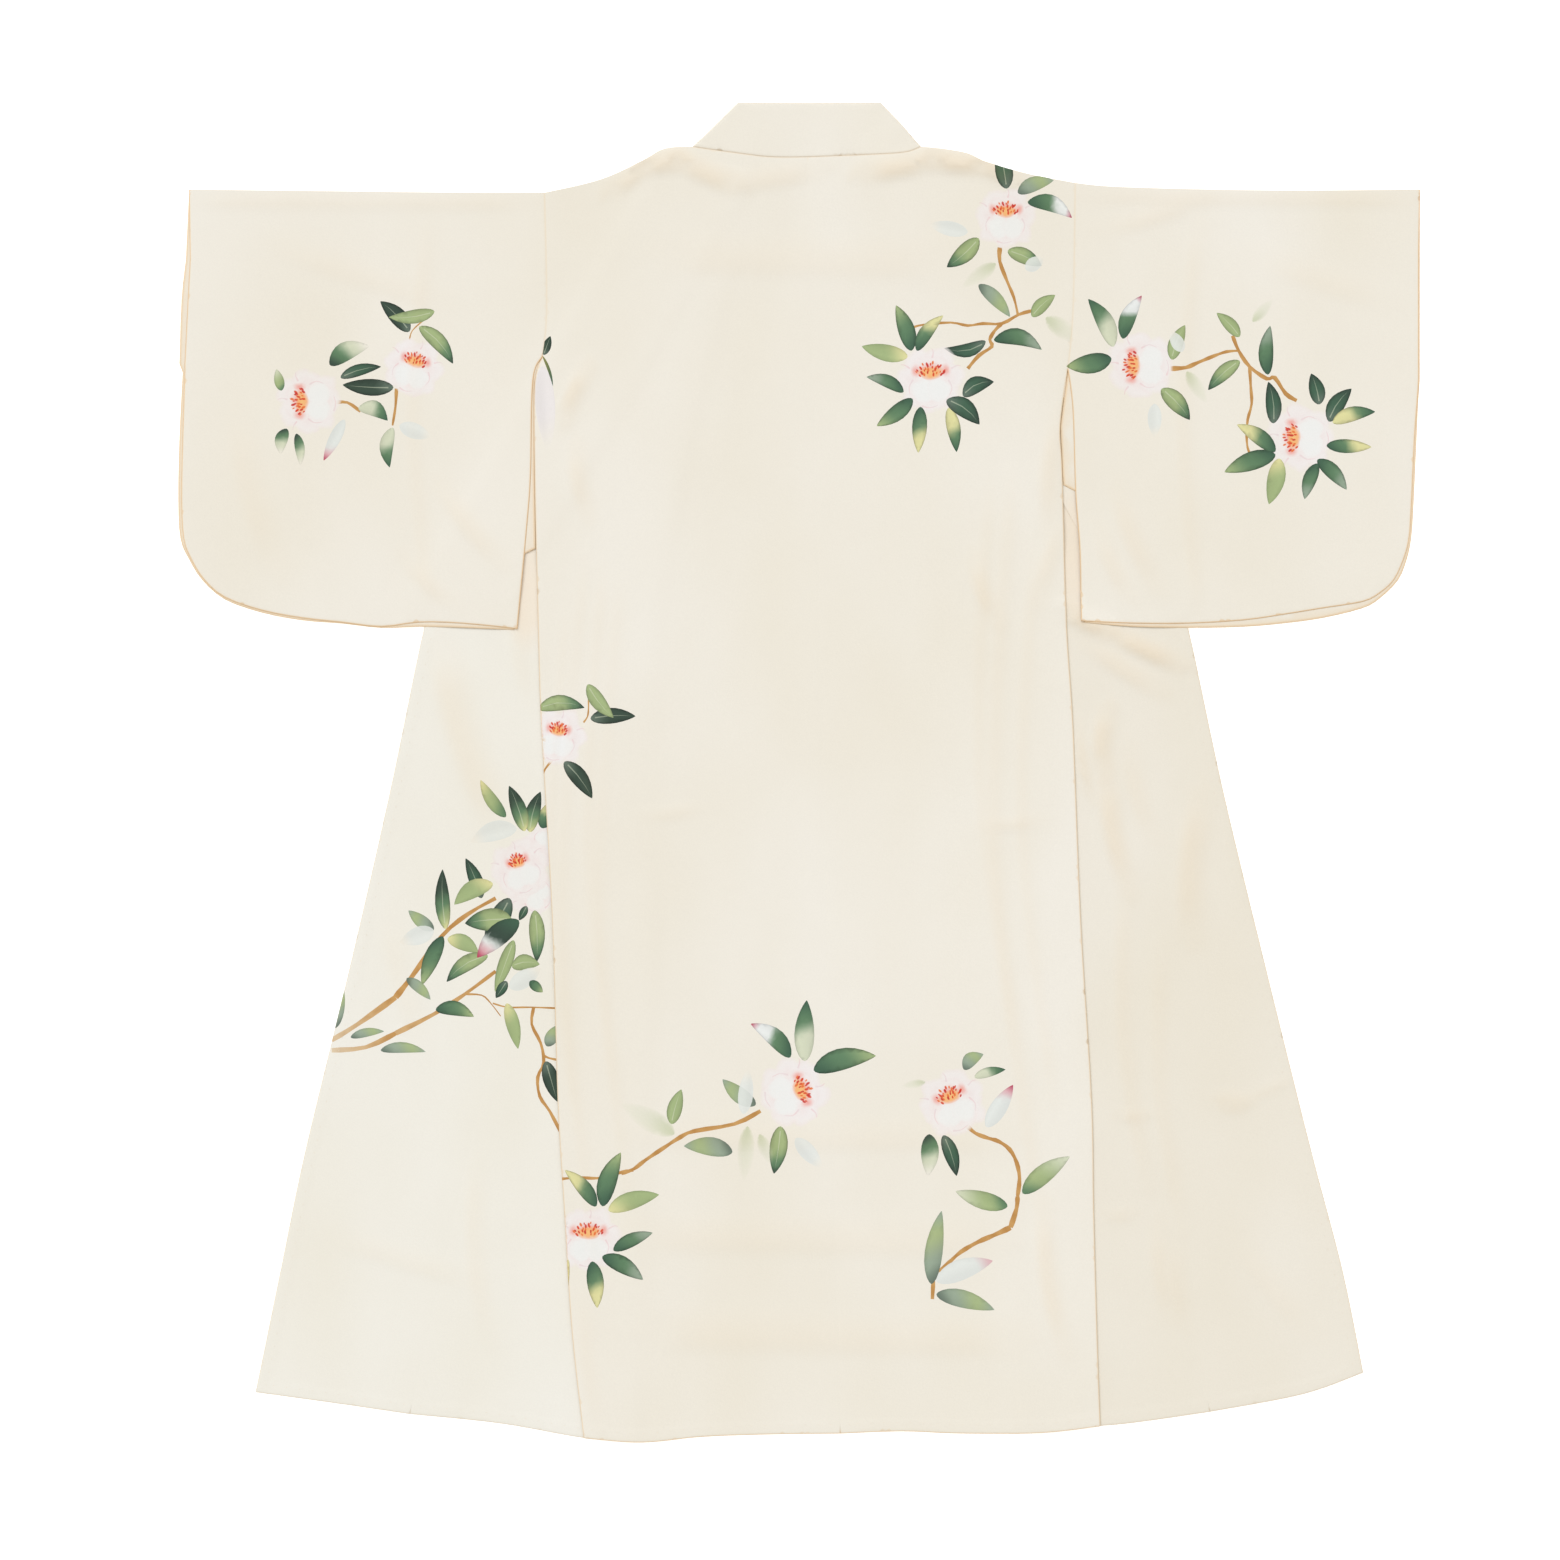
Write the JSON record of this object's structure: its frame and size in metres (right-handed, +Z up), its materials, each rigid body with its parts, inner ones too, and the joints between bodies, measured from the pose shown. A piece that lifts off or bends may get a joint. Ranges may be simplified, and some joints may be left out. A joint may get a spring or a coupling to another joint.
{
  "type": "yukata",
  "caption": "Unlined kimono-cut cotton robe with rounded sleeves, laid flat and seen from the back, printed with camellia sprays.",
  "frame": {"origin": "on the surface it lies on, under the middle of the garment's outline", "axes": "+Z up from that surface, +Y from the hem to the collar, +X to the right as it is seen from above"},
  "size_m": [1.1417, 1.2316, 0.0078],
  "materials": {
    "printed_cotton": "matt cream cotton printed with camellia sprays",
    "plain_cotton": "matt plain cream cotton, doubled"
  },
  "bodies": {
    "root": {"body_left": "printed_cotton", "body_right": "printed_cotton", "okumi_left": "printed_cotton", "okumi_right": "printed_cotton", "collar": "plain_cotton", "sleeve_left": "printed_cotton", "sleeve_right": "printed_cotton"}
  },
  "joints": []
}
